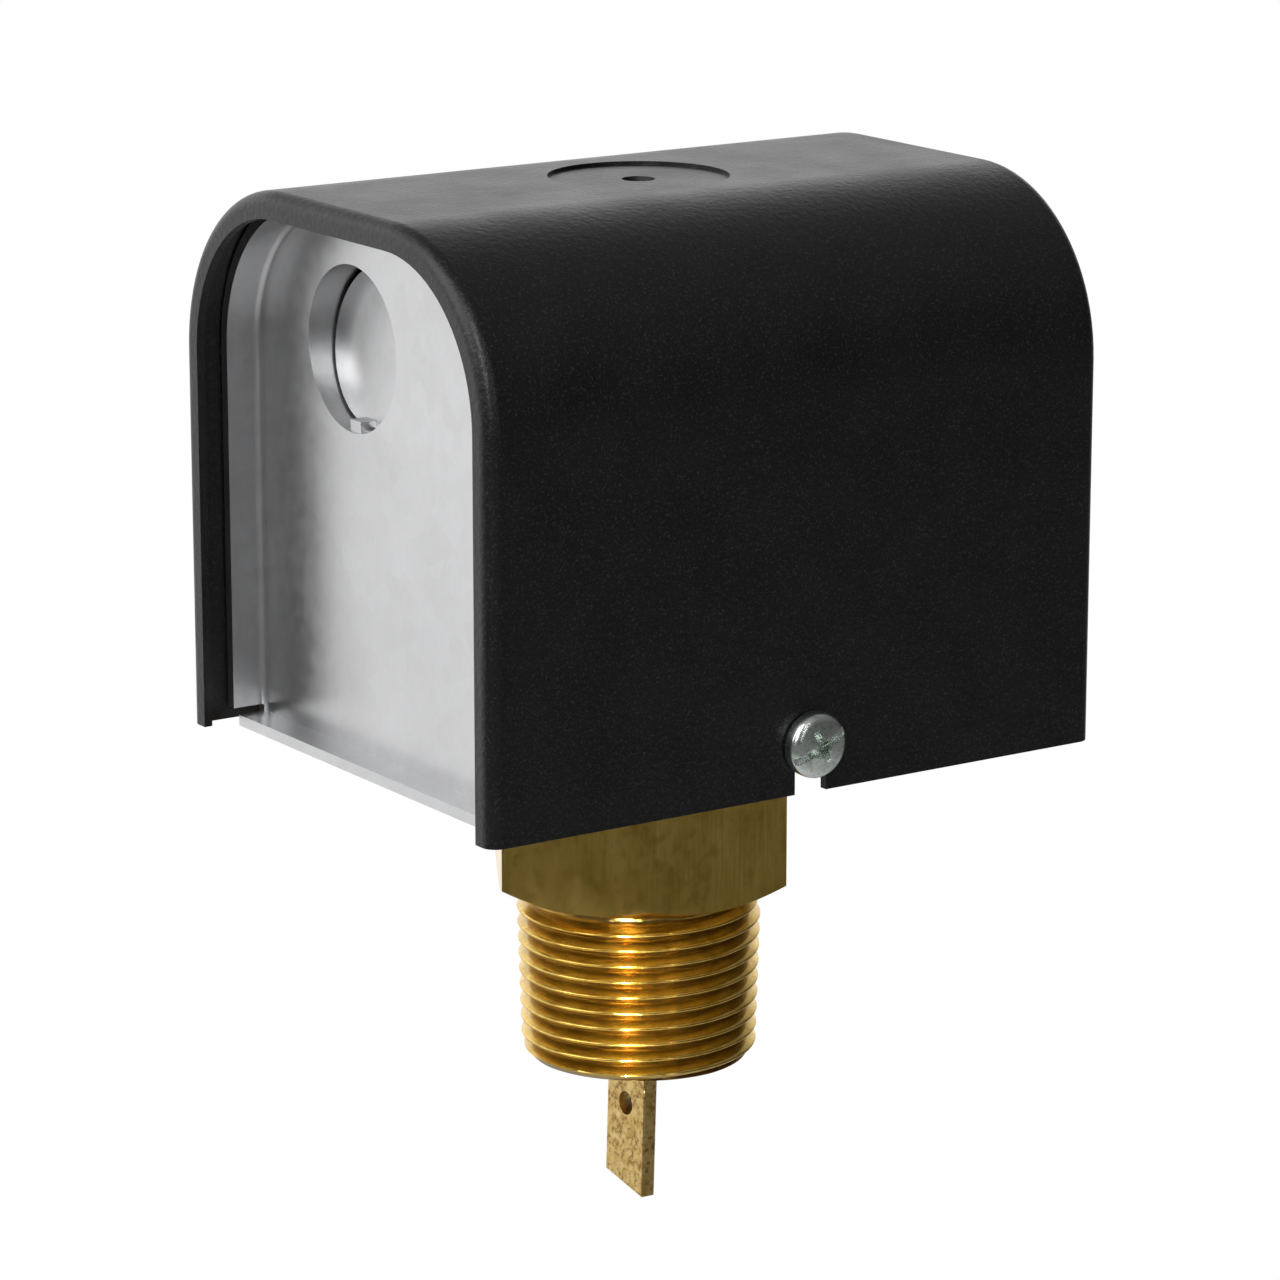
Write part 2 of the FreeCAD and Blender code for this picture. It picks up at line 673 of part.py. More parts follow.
def range_spring():
    """Compression spring from the seat up to the lever's shelf."""
    low = seat_bottom_z + seat_thickness + spring_wire_radius + spring_end_gap
    height = lever_shelf_z - spring_wire_radius - spring_end_gap - low
    helix = Part.makeHelix(height / spring_turns, height, spring_mean_radius)
    angles = [2 * math.pi * (k + 0.5) / spring_wire_sides for k in range(spring_wire_sides + 1)]
    section = Part.makePolygon([Vector(spring_mean_radius + spring_wire_radius * math.cos(angle), 0,
                                       spring_wire_radius * math.sin(angle)) for angle in angles])
    spring = Part.Wire(helix).makePipeShell([section], True, True)
    spring.translate(Vector(range_x, 0, low))
    return spring


def switch_screw_xs():
    middle = switch_left_x + switch_length / 2
    return [middle - switch_hole_spacing / 2, middle + switch_hole_spacing / 2]


def switch_case():
    """Moulded case of the snap switch: body, terminal walls and plunger bushing."""
    half = switch_width / 2
    case = box((switch_left_x, switch_right_x), (-half, half), (switch_bottom_z, switch_body_top_z))
    case = fillet_along(case, switch_corner_radius, UP, lambda middle: True)
    case = case.cut(parting_groove())
    for x in terminal_wall_xs():
        case = case.fuse(box((x - switch_wall_half, x + switch_wall_half),
                             (-half + switch_wall_inset, half - switch_wall_inset),
                             (switch_body_top_z - 0.1, switch_top_z)))
    at = Vector(plunger_x, 0, 0)
    bushing_z = switch_bottom_z - bushing_height
    case = case.fuse(rod(bushing_radius, bushing_z, switch_bottom_z + 1, UP, at))
    case = case.cut(rod(plunger_radius + running_clearance, bushing_z - 1, plunger_bore_top_z, UP, at))
    for x in switch_screw_xs():
        case = case.cut(rod(switch_screw_radius, -half - 1, half + 1, ACROSS, Vector(x, 0, switch_hole_z)))
    for at in terminal_places():
        case = case.cut(rod(terminal_screw_radius, at.z - terminal_screw_length, at.z, UP, Vector(at.x, 0, 0)))
    return case.removeSplitter()


def parting_groove():
    """Shallow groove round the case where its cover meets its base."""
    half = switch_width / 2
    top = switch_parting_z + switch_parting_width
    ring = box((switch_left_x - 1, switch_right_x + 1), (-half - 1, half + 1), (switch_parting_z, top))
    core = box((switch_left_x + switch_parting_depth, switch_right_x - switch_parting_depth),
               (-half + switch_parting_depth, half - switch_parting_depth), (switch_parting_z, top))
    return ring.cut(core)


def terminal_wall_xs():
    """Moulded walls either side of each terminal."""
    first = switch_left_x + switch_end_wall
    return [first, first + terminal_pitch, switch_right_x - terminal_pair_from_right,
            switch_right_x - terminal_middle_from_right, switch_right_x - switch_end_wall]


def terminal_places():
    """Screw centres on the case's top, at the terminal plates' upper face."""
    walls = terminal_wall_xs()
    top = switch_body_top_z + terminal_plate_thickness
    return [Vector((walls[k] + walls[k + 1]) / 2, 0, top) for k in (0, 2, 3)]


def terminal_plates():
    plates = []
    for at in terminal_places():
        low = at.z - terminal_plate_thickness
        plate = box((at.x - terminal_plate_half_length, at.x + terminal_plate_half_length),
                    (-terminal_plate_half_width, terminal_plate_half_width), (low, at.z))
        plate = fillet_along(plate, terminal_corner_radius, UP, lambda middle: True)
        plates.append(plate.cut(rod(terminal_screw_radius, low, at.z, UP, Vector(at.x, 0, 0))))
    return Part.Compound(plates)


def terminal_screws():
    screw = pan_screw(TERMINAL_SCREW, terminal_screw_length)
    return Part.Compound([placed(screw, UP, at) for at in terminal_places()])


def switch_plunger():
    """Round-nosed pin that the lever pushes up."""
    low = lever_bottom_z + lever_sheet + plunger_gap
    high = plunger_bore_top_z - plunger_stroke_room
    pin = rod(plunger_radius, low, high, UP, Vector(plunger_x, 0, 0))
    nose = [edge for edge in pin.Edges if edge.BoundBox.ZMax < low + 1e-4]
    return pin.makeFillet(plunger_nose_radius, nose)


def switch_screws():
    screw = pan_screw(SWITCH_SCREW, switch_width + sheet_insulator + bracket_sheet)
    face_y = -switch_width / 2
    return Part.Compound([placed(screw, Vector(0, -1, 0), Vector(x, face_y, switch_hole_z))
                          for x in switch_screw_xs()])


def insulator_sheet():
    low_y = switch_width / 2
    sheet = box((switch_left_x - insulator_left, switch_right_x + insulator_right), (low_y, bracket_y),
                (switch_bottom_z - insulator_below, switch_top_z + insulator_above))
    for x in switch_screw_xs():
        sheet = sheet.cut(rod(switch_screw_radius, low_y - 1, bracket_y + 1, ACROSS,
                              Vector(x, 0, switch_hole_z)))
    return sheet


def bracket_screw_places():
    inset = bracket_leg_width / 2
    y = bracket_back_y + bracket_foot_depth / 2
    z = floor_top_z + bracket_sheet
    return [Vector(bracket_left_x + inset, y, z), Vector(bracket_right_x - inset, y, z)]


def switch_bracket():
    """Upright plate on two feet, with a shelf folded forward for the range screw."""
    faces = (bracket_y - 1, bracket_back_y + 1)
    plate = box((bracket_left_x, bracket_right_x), (bracket_y, bracket_back_y), (floor_top_z, bracket_top_z))
    window = box((bracket_left_x + bracket_leg_width, bracket_right_x - bracket_leg_width), faces,
                 (floor_top_z - 1, bracket_window_z))
    window = fillet_along(window, bracket_window_radius, ACROSS, lambda middle: middle.z > floor_top_z)
    plate = plate.cut(window)
    for x in (bracket_left_x, bracket_right_x - bracket_leg_width):
        foot = box((x, x + bracket_leg_width), (bracket_y, bracket_back_y + bracket_foot_depth),
                   (floor_top_z, floor_top_z + bracket_sheet))
        plate = plate.fuse(foot)
    plate = fillet_along(plate.removeSplitter(), bracket_bend_radius, ALONG,
                         lambda middle: abs(middle.y - bracket_y) < 0.1 and middle.z < floor_top_z + 0.1)
    shelf_top_z = bracket_shelf_z + bracket_sheet
    plate = plate.cut(box((bracket_shelf_right_x, bracket_right_x + 1), faces,
                          (bracket_top_z - bracket_notch_depth, bracket_top_z + 1)))
    plate = plate.cut(box((bracket_left_x - 1, bracket_shelf_right_x), faces, (shelf_top_z, bracket_top_z + 1)))
    shelf = box((bracket_left_x, bracket_shelf_right_x), (-bracket_shelf_half_width, bracket_back_y),
                (bracket_shelf_z, shelf_top_z))
    shelf = fillet_along(shelf, bracket_shelf_corner_radius, UP, lambda middle: middle.y < 0)
    plate = plate.fuse(shelf).removeSplitter()
    plate = plate.cut(rod(range_screw_radius + running_clearance, bracket_shelf_z, shelf_top_z, UP,
                          Vector(range_x, 0, 0)))
    for x in switch_screw_xs():
        plate = plate.cut(rod(switch_screw_radius, faces[0], faces[1], ACROSS, Vector(x, 0, switch_hole_z)))
    for at in bracket_screw_places():
        plate = plate.cut(rod(SMALL_SCREW[2], floor_top_z, at.z, UP, Vector(at.x, at.y, 0)))
    return plate.removeSplitter()


def bracket_screws():
    screw = pan_screw(SMALL_SCREW, bracket_sheet + frame_sheet + screw_tip_reach)
    return Part.Compound([placed(screw, UP, at) for at in bracket_screw_places()])


def ground_screw_place():
    return Vector(ground_screw_x, ground_screw_y, floor_top_z)


def ground_screw():
    return placed(pan_screw(GROUND_SCREW, frame_sheet + screw_tip_reach), UP, ground_screw_place())


def cover_screws():
    screw = pan_screw(COVER_SCREW, cover_screw_length)
    places = []
    for side in (-1, 1):
        outward = Vector(0, side, 0)
        at = Vector(cover_screw_x, side * (half_width + screw_back_off), cover_screw_z)
        places.append(placed(screw, outward, at))
    return Part.Compound(places)


NODES = {
    "cover": cover,
    "cover_screws": cover_screws,
    "end_plate_left": end_plate,
    "end_plate_right": end_plate_right,
    "base_plate": base_plate,
    "pipe_body": pipe_body,
    "flange_gasket": flange_gasket,
    "bellows_flange": bellows_flange,
    "bellows": bellows,
    "pivot_yoke": pivot_yoke,
    "yoke_screws": yoke_screws,
    "pivot_pin": pivot_pin,
    "pivot_clips": pivot_clips,
    "paddle_arm": paddle_arm,
    "arm_socket": arm_socket,
    "arm_rivet": arm_rivet,
    "arm_stem": arm_stem,
    "pivot_hub": pivot_hub,
    "actuator_lever": actuator_lever,
    "lever_screw": lever_screw,
    "range_screw": range_screw,
    "range_clip": range_clip,
    "spring_seat": spring_seat,
    "range_spring": range_spring,
    "switch_case": switch_case,
    "terminal_plates": terminal_plates,
    "terminal_screws": terminal_screws,
    "switch_plunger": switch_plunger,
    "switch_screws": switch_screws,
    "insulator_sheet": insulator_sheet,
    "switch_bracket": switch_bracket,
    "bracket_screws": bracket_screws,
    "ground_screw": ground_screw,
}

os.makedirs("parts", exist_ok=True)
for name, make in NODES.items():
    shape = make()
    print(f"{name:18s} valid {shape.isValid()} solids {len(shape.Solids)} volume {shape.Volume:9.1f}")
    shape.exportStep(f"parts/{name}.step")
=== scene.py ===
import json
import math

import bmesh
import bpy
import numpy as np
from mathutils import Matrix, Vector


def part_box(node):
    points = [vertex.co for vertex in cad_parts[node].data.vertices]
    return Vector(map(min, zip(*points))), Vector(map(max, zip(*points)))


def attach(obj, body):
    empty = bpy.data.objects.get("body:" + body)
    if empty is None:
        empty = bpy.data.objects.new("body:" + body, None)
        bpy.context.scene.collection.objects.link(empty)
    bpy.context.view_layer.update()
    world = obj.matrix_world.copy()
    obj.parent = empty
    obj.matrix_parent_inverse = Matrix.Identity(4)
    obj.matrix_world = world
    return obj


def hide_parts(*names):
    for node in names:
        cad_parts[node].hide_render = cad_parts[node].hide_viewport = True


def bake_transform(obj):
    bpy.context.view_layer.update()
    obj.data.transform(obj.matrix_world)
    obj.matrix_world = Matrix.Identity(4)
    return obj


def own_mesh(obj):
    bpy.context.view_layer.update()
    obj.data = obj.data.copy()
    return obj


# Looks of a paddle flow switch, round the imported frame. Metres, +Z up along the pipe thread's axis,
# origin at the underside of the brass hexagon, upstream towards -X.

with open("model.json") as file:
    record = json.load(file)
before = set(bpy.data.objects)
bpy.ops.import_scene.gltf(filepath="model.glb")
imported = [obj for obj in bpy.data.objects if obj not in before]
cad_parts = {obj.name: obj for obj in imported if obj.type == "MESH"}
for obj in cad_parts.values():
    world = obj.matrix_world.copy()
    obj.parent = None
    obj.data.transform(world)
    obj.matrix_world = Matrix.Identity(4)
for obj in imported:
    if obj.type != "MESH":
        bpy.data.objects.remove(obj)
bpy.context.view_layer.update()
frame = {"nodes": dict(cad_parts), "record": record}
nodes = frame["nodes"]
MM = 0.001
# Pipe thread: change of radius along its length, and crest radius at Z = 0
TAPER = 1 / 32
THREAD_TOP_RADIUS = 16.7 * MM
UP = Vector((0, 0, 1))
# How far roughness swings about its middle value, on painted or coated surfaces and on bare metal
ROUGH_SWING = 0.06
METAL_SWING = 0.05
# Distances in metres below which points are taken as the same
WELD_DISTANCE = 1e-6
MERGE_DISTANCE = 2e-6
TINY = 1e-7


# ---------------------------------------------------------------- shader helpers

class Shading:
    """A node tree with short calls for the nodes used here."""

    def __init__(self, tree):
        self.tree = tree
        tree.nodes.clear()

    def add(self, kind, inputs=None, **settings):
        node = self.tree.nodes.new(kind)
        for name, value in settings.items():
            setattr(node, name, value)
        for name, value in (inputs or {}).items():
            if isinstance(value, bpy.types.NodeSocket):
                self.tree.links.new(value, node.inputs[name])
            else:
                node.inputs[name].default_value = value
        return node

    def math(self, operation, a, b=0.0, clamp=False):
        node = self.add("ShaderNodeMath", {0: a, 1: b}, operation=operation, use_clamp=clamp)
        return node.outputs[0]

    def object_space(self, stretch=(1, 1, 1)):
        """Object coordinates in millimetres, each axis divided by its stretch."""
        place = self.add("ShaderNodeTexCoord").outputs["Object"]
        scale = tuple(1 / (MM * s) for s in stretch)
        return self.add("ShaderNodeMapping", {"Vector": place, "Scale": scale}).outputs[0]

    def noise(self, size, detail=3.0, stretch=(1, 1, 1), roughness=0.5):
        """Noise whose features are about size millimetres across."""
        inputs = {"Vector": self.object_space(stretch), "Scale": 1 / size, "Detail": detail,
                  "Roughness": roughness}
        return self.add("ShaderNodeTexNoise", inputs).outputs["Fac"]

    def blend(self, first, second, share):
        """Weighted sum: share of the first value, the rest of the second."""
        of_first = self.math("MULTIPLY", first, share)
        of_second = self.math("MULTIPLY", second, 1 - share)
        return self.math("ADD", of_first, of_second)

    def spread(self, value, low, high, from_low=0.3, from_high=0.7):
        """The value, whose usual range is from_low to from_high, spread from low to high."""
        inputs = {"Value": value, "From Min": from_low, "From Max": from_high,
                  "To Min": low, "To Max": high}
        return self.add("ShaderNodeMapRange", inputs).outputs[0]

    def ramp(self, value, stops):
        """The value passed through straight lines between (position, level) stops, positions 0 to 1."""
        node = self.add("ShaderNodeValToRGB", {"Fac": value})
        marks = node.color_ramp.elements
        while len(marks) < len(stops):
            marks.new(0.5)
        for mark, (position, level) in zip(marks, stops):
            mark.position = position
            mark.color = colour(level, level, level)
        return node.outputs["Color"]

    def mix(self, factor, first, second):
        node = self.add("ShaderNodeMix", data_type="RGBA")
        for index, value in ((0, factor), (6, first), (7, second)):
            if isinstance(value, bpy.types.NodeSocket):
                self.tree.links.new(value, node.inputs[index])
            else:
                node.inputs[index].default_value = value
        return node.outputs[2]

    def bump(self, height, depth, normal=None):
        """Bump from a 0..1 height, depth in millimetres."""
        inputs = {"Height": height, "Distance": depth * MM, "Strength": 1.0}
        if normal is not None:
            inputs["Normal"] = normal
        return self.add("ShaderNodeBump", inputs).outputs[0]


def colour(red, green, blue):
    return (red, green, blue, 1.0)


def material(name, paint):
    """A material whose nodes paint(shading, principled) builds."""
    made = bpy.data.materials.new(name)
    made.use_nodes = True
    shading = Shading(made.node_tree)
    principled = shading.add("ShaderNodeBsdfPrincipled")
    shading.add("ShaderNodeOutputMaterial", {"Surface": principled.outputs[0]})
    paint(shading, principled)
    return made


def link(shading, principled, **sockets):
    """Set or link the principled shader's sockets, whose names are given with underscores."""
    for name, value in sockets.items():
        socket = principled.inputs[name.replace("_", " ")]
        if isinstance(value, bpy.types.NodeSocket):
            shading.tree.links.new(value, socket)
        else:
            socket.default_value = value


def powder_coat():
    """Black powder coat with orange peel, a fine grain and a few lighter flecks."""
    def paint(s, p):
        peel = s.noise(0.9, 2.0)
        grain = s.noise(0.32, 2.0)
        blotch = s.noise(9.0, 3.0)
        darkest = colour(0.0022, 0.0022, 0.0023)
        lightest = colour(0.0038, 0.0038, 0.0039)
        fleck = s.spread(grain, 0, 1, 0.57, 0.70)
        base = s.mix(fleck, s.mix(s.spread(blotch, 0, 1), darkest, lightest), colour(0.024, 0.024, 0.025))
        rough = s.spread(s.blend(blotch, grain, 0.5), 0.33, 0.46)
        normal = s.bump(grain, 0.022, s.bump(peel, 0.075))
        link(s, p, Base_Color=base, Roughness=rough, Normal=normal, IOR=1.5)
    return material("powder_coat_black", paint)


def galvanised(name, low, high, rough):
    """Zinc-coated sheet: faint spangle, mottling and rolling marks along Z."""
    def paint(s, p):
        spangle = s.add("ShaderNodeTexVoronoi", {"Vector": s.object_space(), "Scale": 1 / 3.2,
                                                 "Randomness": 1.0}).outputs["Color"]
        tone = s.add("ShaderNodeRGBToBW", {0: spangle}).outputs[0]
        mottle = s.noise(2.2, 5.0, roughness=0.65)
        cloud = s.noise(16.0, 3.0)
        base = s.mix(s.spread(s.blend(tone, mottle, 0.25), 0, 1, 0.25, 0.75), low, high)
        rolled = s.noise(0.35, 2.0, stretch=(1, 1, 14))
        roughness = s.spread(s.blend(cloud, mottle, 0.5), rough - ROUGH_SWING, rough + ROUGH_SWING)
        normal = s.bump(mottle, 0.012, s.bump(rolled, 0.004))
        link(s, p, Base_Color=base, Roughness=roughness, Metallic=1.0, Normal=normal)
    return material(name, paint)


def metal(name, low, high, rough, grain=(1, 1, 1), grain_size=0.3, grain_depth=0.003, patch=5.0,
          tint=None):
    """Bare or plated metal with tone patches and a grain that can run along one axis."""
    def paint(s, p):
        patches = s.noise(patch, 4.0, roughness=0.6)
        lines = s.noise(grain_size, 3.0, stretch=grain)
        blend = s.blend(patches, lines, 0.6)
        base = s.mix(s.spread(blend, 0, 1, 0.35, 0.65), low, high)
        if tint is not None:
            stain = s.noise(patch * 0.45, 2.0)
            base = s.mix(s.spread(stain, 0, 0.8, 0.5, 0.68), base, tint)
        roughness = s.spread(blend, rough + METAL_SWING, rough - METAL_SWING)
        link(s, p, Base_Color=base, Roughness=roughness, Metallic=1.0, Normal=s.bump(lines, grain_depth))
    return material(name, paint)


def groove_depth(s):
    """Depth below the pipe thread's crests, in millimetres."""
    x, y, z = s.add("ShaderNodeSeparateXYZ", {0: s.object_space()}).outputs
    radius = s.math("SQRT", s.math("ADD", s.math("MULTIPLY", x, x), s.math("MULTIPLY", y, y)))
    crest = s.math("ADD", s.math("MULTIPLY", z, TAPER), THREAD_TOP_RADIUS / MM)
    return s.math("SUBTRACT", crest, radius)


def brass_body():
    """Dull machined brass, brushed along Z, with browner patches and painted shade that darkens the thread
    roots.
    """
    def paint(s, p):
        brushed = s.noise(0.25, 3.0, stretch=(1, 1, 30))
        patches = s.noise(4.0, 4.0, stretch=(1, 1, 2.5), roughness=0.6)
        brown = s.noise(2.2, 3.0)
        tone = s.spread(s.blend(patches, brushed, 0.5), 0, 1, 0.35, 0.65)
        base = s.mix(tone, colour(0.56, 0.365, 0.060), colour(0.88, 0.61, 0.165))
        base = s.mix(s.spread(brown, 0, 0.55, 0.5, 0.72), base, colour(0.43, 0.24, 0.038))
        # Painted shade: the colour darkens deeper below the thread crests, standing in for shade in the
        # grooves.
        painted_root_shade = s.spread(groove_depth(s), 0, 0.65, 0.15, 1.3)
        base = s.mix(painted_root_shade, base, colour(0.19, 0.105, 0.024))
        roughness = s.spread(brushed, 0.22, 0.14)
        link(s, p, Base_Color=base, Roughness=roughness, Metallic=1.0, Normal=s.bump(brushed, 0.006))
    return material("brass_machined", paint)


def brass_arm():
    """Rolled brass bar, speckled brown and finely scratched along Z."""
    def paint(s, p):
        speckle = s.noise(0.85, 4.0, roughness=0.7)
        patches = s.noise(1.3, 3.0)
        scratch = s.noise(0.18, 2.0, stretch=(1, 1, 9))
        base = s.mix(s.spread(patches, 0, 1), colour(0.58, 0.37, 0.10), colour(0.82, 0.61, 0.26))
        base = s.mix(s.spread(speckle, 0, 0.85, 0.50, 0.62), base, colour(0.28, 0.15, 0.035))
        roughness = s.spread(speckle, 0.30, 0.46)
        normal = s.bump(scratch, 0.004, s.bump(speckle, 0.02))
        link(s, p, Base_Color=base, Roughness=roughness, Metallic=1.0, Normal=normal)
    return material("brass_bar", paint)


def plain(name, low, high, rough, grain_size=0.4, depth=0.01, patch=6.0):
    """Moulded, sheet or painted surface: two close tones, a fine grain and uneven gloss."""
    def paint(s, p):
        patches = s.noise(patch, 3.0)
        grain = s.noise(grain_size, 3.0)
        base = s.mix(s.spread(s.blend(patches, grain, 0.6), 0, 1, 0.38, 0.62), low, high)
        roughness = s.spread(grain, rough - ROUGH_SWING, rough + ROUGH_SWING)
        link(s, p, Base_Color=base, Roughness=roughness, Metallic=0.0, Normal=s.bump(grain, depth))
    return material(name, paint)


def make_materials():
    """The material of each slot in the record."""
    return {
        "black_powder_coat": powder_coat(),
        "galvanised_steel": galvanised(
            "zinc_sheet", colour(0.60, 0.60, 0.605), colour(0.68, 0.685, 0.695), 0.33),
        "zinc_plate": metal(
            "zinc_plated", colour(0.72, 0.78, 0.74), colour(0.92, 0.95, 0.93), 0.27,
            patch=1.6, tint=colour(0.50, 0.60, 0.48)),
        "zinc_plate_sheet": galvanised(
            "zinc_sheet_bright", colour(0.48, 0.49, 0.47), colour(0.62, 0.62, 0.60), 0.36),
        "stainless_steel": metal(
            "stainless_strip", colour(0.46, 0.45, 0.43), colour(0.60, 0.59, 0.57), 0.30,
            grain=(30, 1, 1), grain_size=0.2),
        "spring_steel": metal(
            "spring_wire", colour(0.30, 0.30, 0.31), colour(0.44, 0.44, 0.45), 0.34, patch=3.0),
        "brass_body": brass_body(),
        "brass_arm": brass_arm(),
        "brass_turned": metal(
            "brass_turned", colour(0.52, 0.36, 0.12), colour(0.68, 0.50, 0.22), 0.26,
            grain=(30, 30, 1), grain_size=0.15),
        "bronze_bellows": metal(
            "bronze_foil", colour(0.46, 0.26, 0.11), colour(0.62, 0.39, 0.18), 0.30,
            grain=(20, 20, 1), grain_size=0.2),
        "gasket_rubber": plain(
            "nitrile_sheet", colour(0.018, 0.018, 0.018), colour(0.03, 0.03, 0.03), 0.65),
        "phenolic": plain(
            "phenolic_moulding", colour(0.022, 0.013, 0.009), colour(0.042, 0.025, 0.017), 0.38),
        "terminal_brass": metal(
            "terminal_brass", colour(0.62, 0.47, 0.20), colour(0.76, 0.60, 0.32), 0.24, patch=2.0),
        "plunger_plastic": plain(
            "red_acetal", colour(0.38, 0.03, 0.025), colour(0.46, 0.045, 0.035), 0.3, depth=0.004),
        "fish_paper": plain(
            "fibre_sheet", colour(0.24, 0.25, 0.23), colour(0.33, 0.34, 0.31), 0.7, grain_size=0.8),
        "green_screw": metal(
            "green_dyed_zinc", colour(0.03, 0.22, 0.07), colour(0.06, 0.36, 0.12), 0.3, patch=1.6),
    }


materials = make_materials()
slot_of = {part["node"]: part["material_slot"] for part in frame["record"]["subparts"]}


# ---------------------------------------------------------------- CAD nodes that stay

def smoothing_group(angle):
    """Geometry nodes that shade smooth, apart from edges sharper than the angle."""
    group = bpy.data.node_groups.new("smooth_by_angle", "GeometryNodeTree")
    group.interface.new_socket("Geometry", in_out="INPUT", socket_type="NodeSocketGeometry")
    group.interface.new_socket("Geometry", in_out="OUTPUT", socket_type="NodeSocketGeometry")
    start = group.nodes.new("NodeGroupInput")
    end = group.nodes.new("NodeGroupOutput")
    edge_angle = group.nodes.new("GeometryNodeInputMeshEdgeAngle")
    below = group.nodes.new("FunctionNodeCompare")
    below.data_type = "FLOAT"
    below.operation = "LESS_THAN"
    below.inputs[1].default_value = angle
    faces = group.nodes.new("GeometryNodeSetShadeSmooth")
    faces.domain = "FACE"
    edges = group.nodes.new("GeometryNodeSetShadeSmooth")
    edges.domain = "EDGE"
    links = group.links
    links.new(start.outputs[0], faces.inputs["Geometry"])
    links.new(faces.outputs[0], edges.inputs["Geometry"])
    links.new(edge_angle.outputs[0], below.inputs[0])
    links.new(below.outputs[0], edges.inputs["Shade Smooth"])
    links.new(edges.outputs[0], end.inputs[0])
    return group


# Edges sharper than this, in degrees, stay sharp; facets closer than FLAT_ANGLE are merged.
SHARP_EDGE = 32
FLAT_ANGLE = 0.5
smooth_group = smoothing_group(math.radians(SHARP_EDGE))


def smooth(piece):
    """Smooth shading by angle, with large flat faces kept flat."""
    modifier = piece.modifiers.new("smooth", "NODES")
    modifier.node_group = smooth_group
    weighted = piece.modifiers.new("flat_stays_flat", "WEIGHTED_NORMAL")
    weighted.mode = "FACE_AREA"
    weighted.weight = 50
    weighted.keep_sharp = True


def bevel(piece, width, segments=2, angle=40):
    """Round the edges sharper than the angle, width in millimetres."""
    modifier = piece.modifiers.new("soft_edges", "BEVEL")
    modifier.width = width * MM
    modifier.segments = segments
    modifier.limit_method = "ANGLE"
    modifier.angle_limit = math.radians(angle)


def weld(piece):
    """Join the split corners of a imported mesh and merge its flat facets."""
    modifier = piece.modifiers.new("weld", "WELD")
    modifier.merge_threshold = WELD_DISTANCE
    flat = piece.modifiers.new("flat_facets", "DECIMATE")
    flat.decimate_type = "DISSOLVE"
    flat.angle_limit = math.radians(FLAT_ANGLE)


def dress_node(name, edge):
    """Material, soft edges and smooth shading for a CAD node that stays."""
    node = nodes[name]
    node.data.materials.clear()
    node.data.materials.append(materials[slot_of[name]])
    weld(node)
    if edge:
        bevel(node, edge)
    smooth(node)


# ---------------------------------------------------------------- new pieces

def piece_from(name, mesh, node_names, body):
    """A new piece that stands for CAD nodes and rides on their body."""
    piece = bpy.data.objects.new(name, mesh)
    bpy.context.scene.collection.objects.link(piece)
    slot = slot_of[node_names[0]]
    mesh.materials.append(materials[slot])
    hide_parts(*node_names)
    if body:
        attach(piece, body)
    return piece


def ring_mesh(name, rings, closed=True, seam_shift=None):
    """Mesh through equal rings of points, joined ring to ring. A helical row's last point joins the first
    point of the row that seam_shift gives for it."""
    count = len(rings[0])
    points = np.concatenate([np.asarray(ring, float) for ring in rings]).reshape(-1, 3)
    total = len(rings)

    def index(row, column):
        if column == count:
            column = 0
            if seam_shift is not None:
                row = min(max(row - seam_shift[row], 0), total - 1)
        return (row % total) * count + column

    quads = []
    for row in range(total if closed else total - 1):
        for column in range(count):
            below = row
            above = (row + 1) % total
            quads.append((index(below, column), index(below, column + 1),
                          index(above, column + 1), index(above, column)))
    mesh = bpy.data.meshes.new(name)
    mesh.from_pydata(points.tolist(), [], quads)
    tidy(mesh)
    return mesh


def tidy(mesh):
    """Merge doubled points, drop empty faces and turn all faces outward."""
    work = bmesh.new()
    work.from_mesh(mesh)
    bmesh.ops.remove_doubles(work, verts=work.verts, dist=MERGE_DISTANCE)
    bmesh.ops.dissolve_degenerate(work, edges=work.edges, dist=MERGE_DISTANCE)
    bmesh.ops.recalc_face_normals(work, faces=work.faces)
    work.to_mesh(mesh)
    work.free()
    for polygon in mesh.polygons:
        polygon.use_smooth = True


def circle(radius, z, count):
    """Ring of points round Z. The radius and the height may be one number or one for each point."""
    angles = np.arange(count) * 2 * math.pi / count
    return np.stack([radius * np.cos(angles), radius * np.sin(angles), np.full(count, z)], axis=1)


# Pipe body. The thread's roundings and samples are shares of its pitch.
ROUND = 180
PITCH = 25.4 / 11.5 * MM
THREAD_DEPTH = 0.76 * PITCH
CREST_ROUNDING = 0.12
ROOT_ROUNDING = 0.03
THREAD_SAMPLES = (0.0, 0.03, 0.065, 0.105, 0.16, 0.28, 0.4, 0.46,
                  0.5, 0.54, 0.6, 0.72, 0.84, 0.895, 0.935, 0.97)
RUN_OUT = 0.9 * PITCH
LEAD_CHAMFER = 1.2 * MM
HEX_TOP = 24.0 * MM
HEX_CHAMFER_INSET = 0.35 * MM
HEX_CHAMFER_ANGLE = 30
NECK_RADIUS = 15.4 * MM
NECK_LENGTH = 1.2 * MM
NECK_FILLET = 0.4 * MM
BORE_RADIUS = 11.0 * MM
BORE_CHAMFER = 0.5 * MM
SPIGOT_RADIUS = 13.0 * MM


def hexagon_radius(angles, flats):
    """Radius of a hexagon with corners on the X axis, at each angle."""
    corner_first = np.abs((angles % (math.pi / 3)) - math.pi / 6)
    return flats / 2 / np.cos(corner_first)


def thread_profile(phase):
    """Depth share of a V thread with rounded crest and root: 0 at the crest, 1 at the root."""
    away = np.abs((phase + 0.5) % 1.0 - 0.5)
    crest = np.hypot(away, CREST_ROUNDING) - CREST_ROUNDING
    root = np.hypot(0.5 - away, ROOT_ROUNDING) - ROOT_ROUNDING
    return crest / (crest + root)


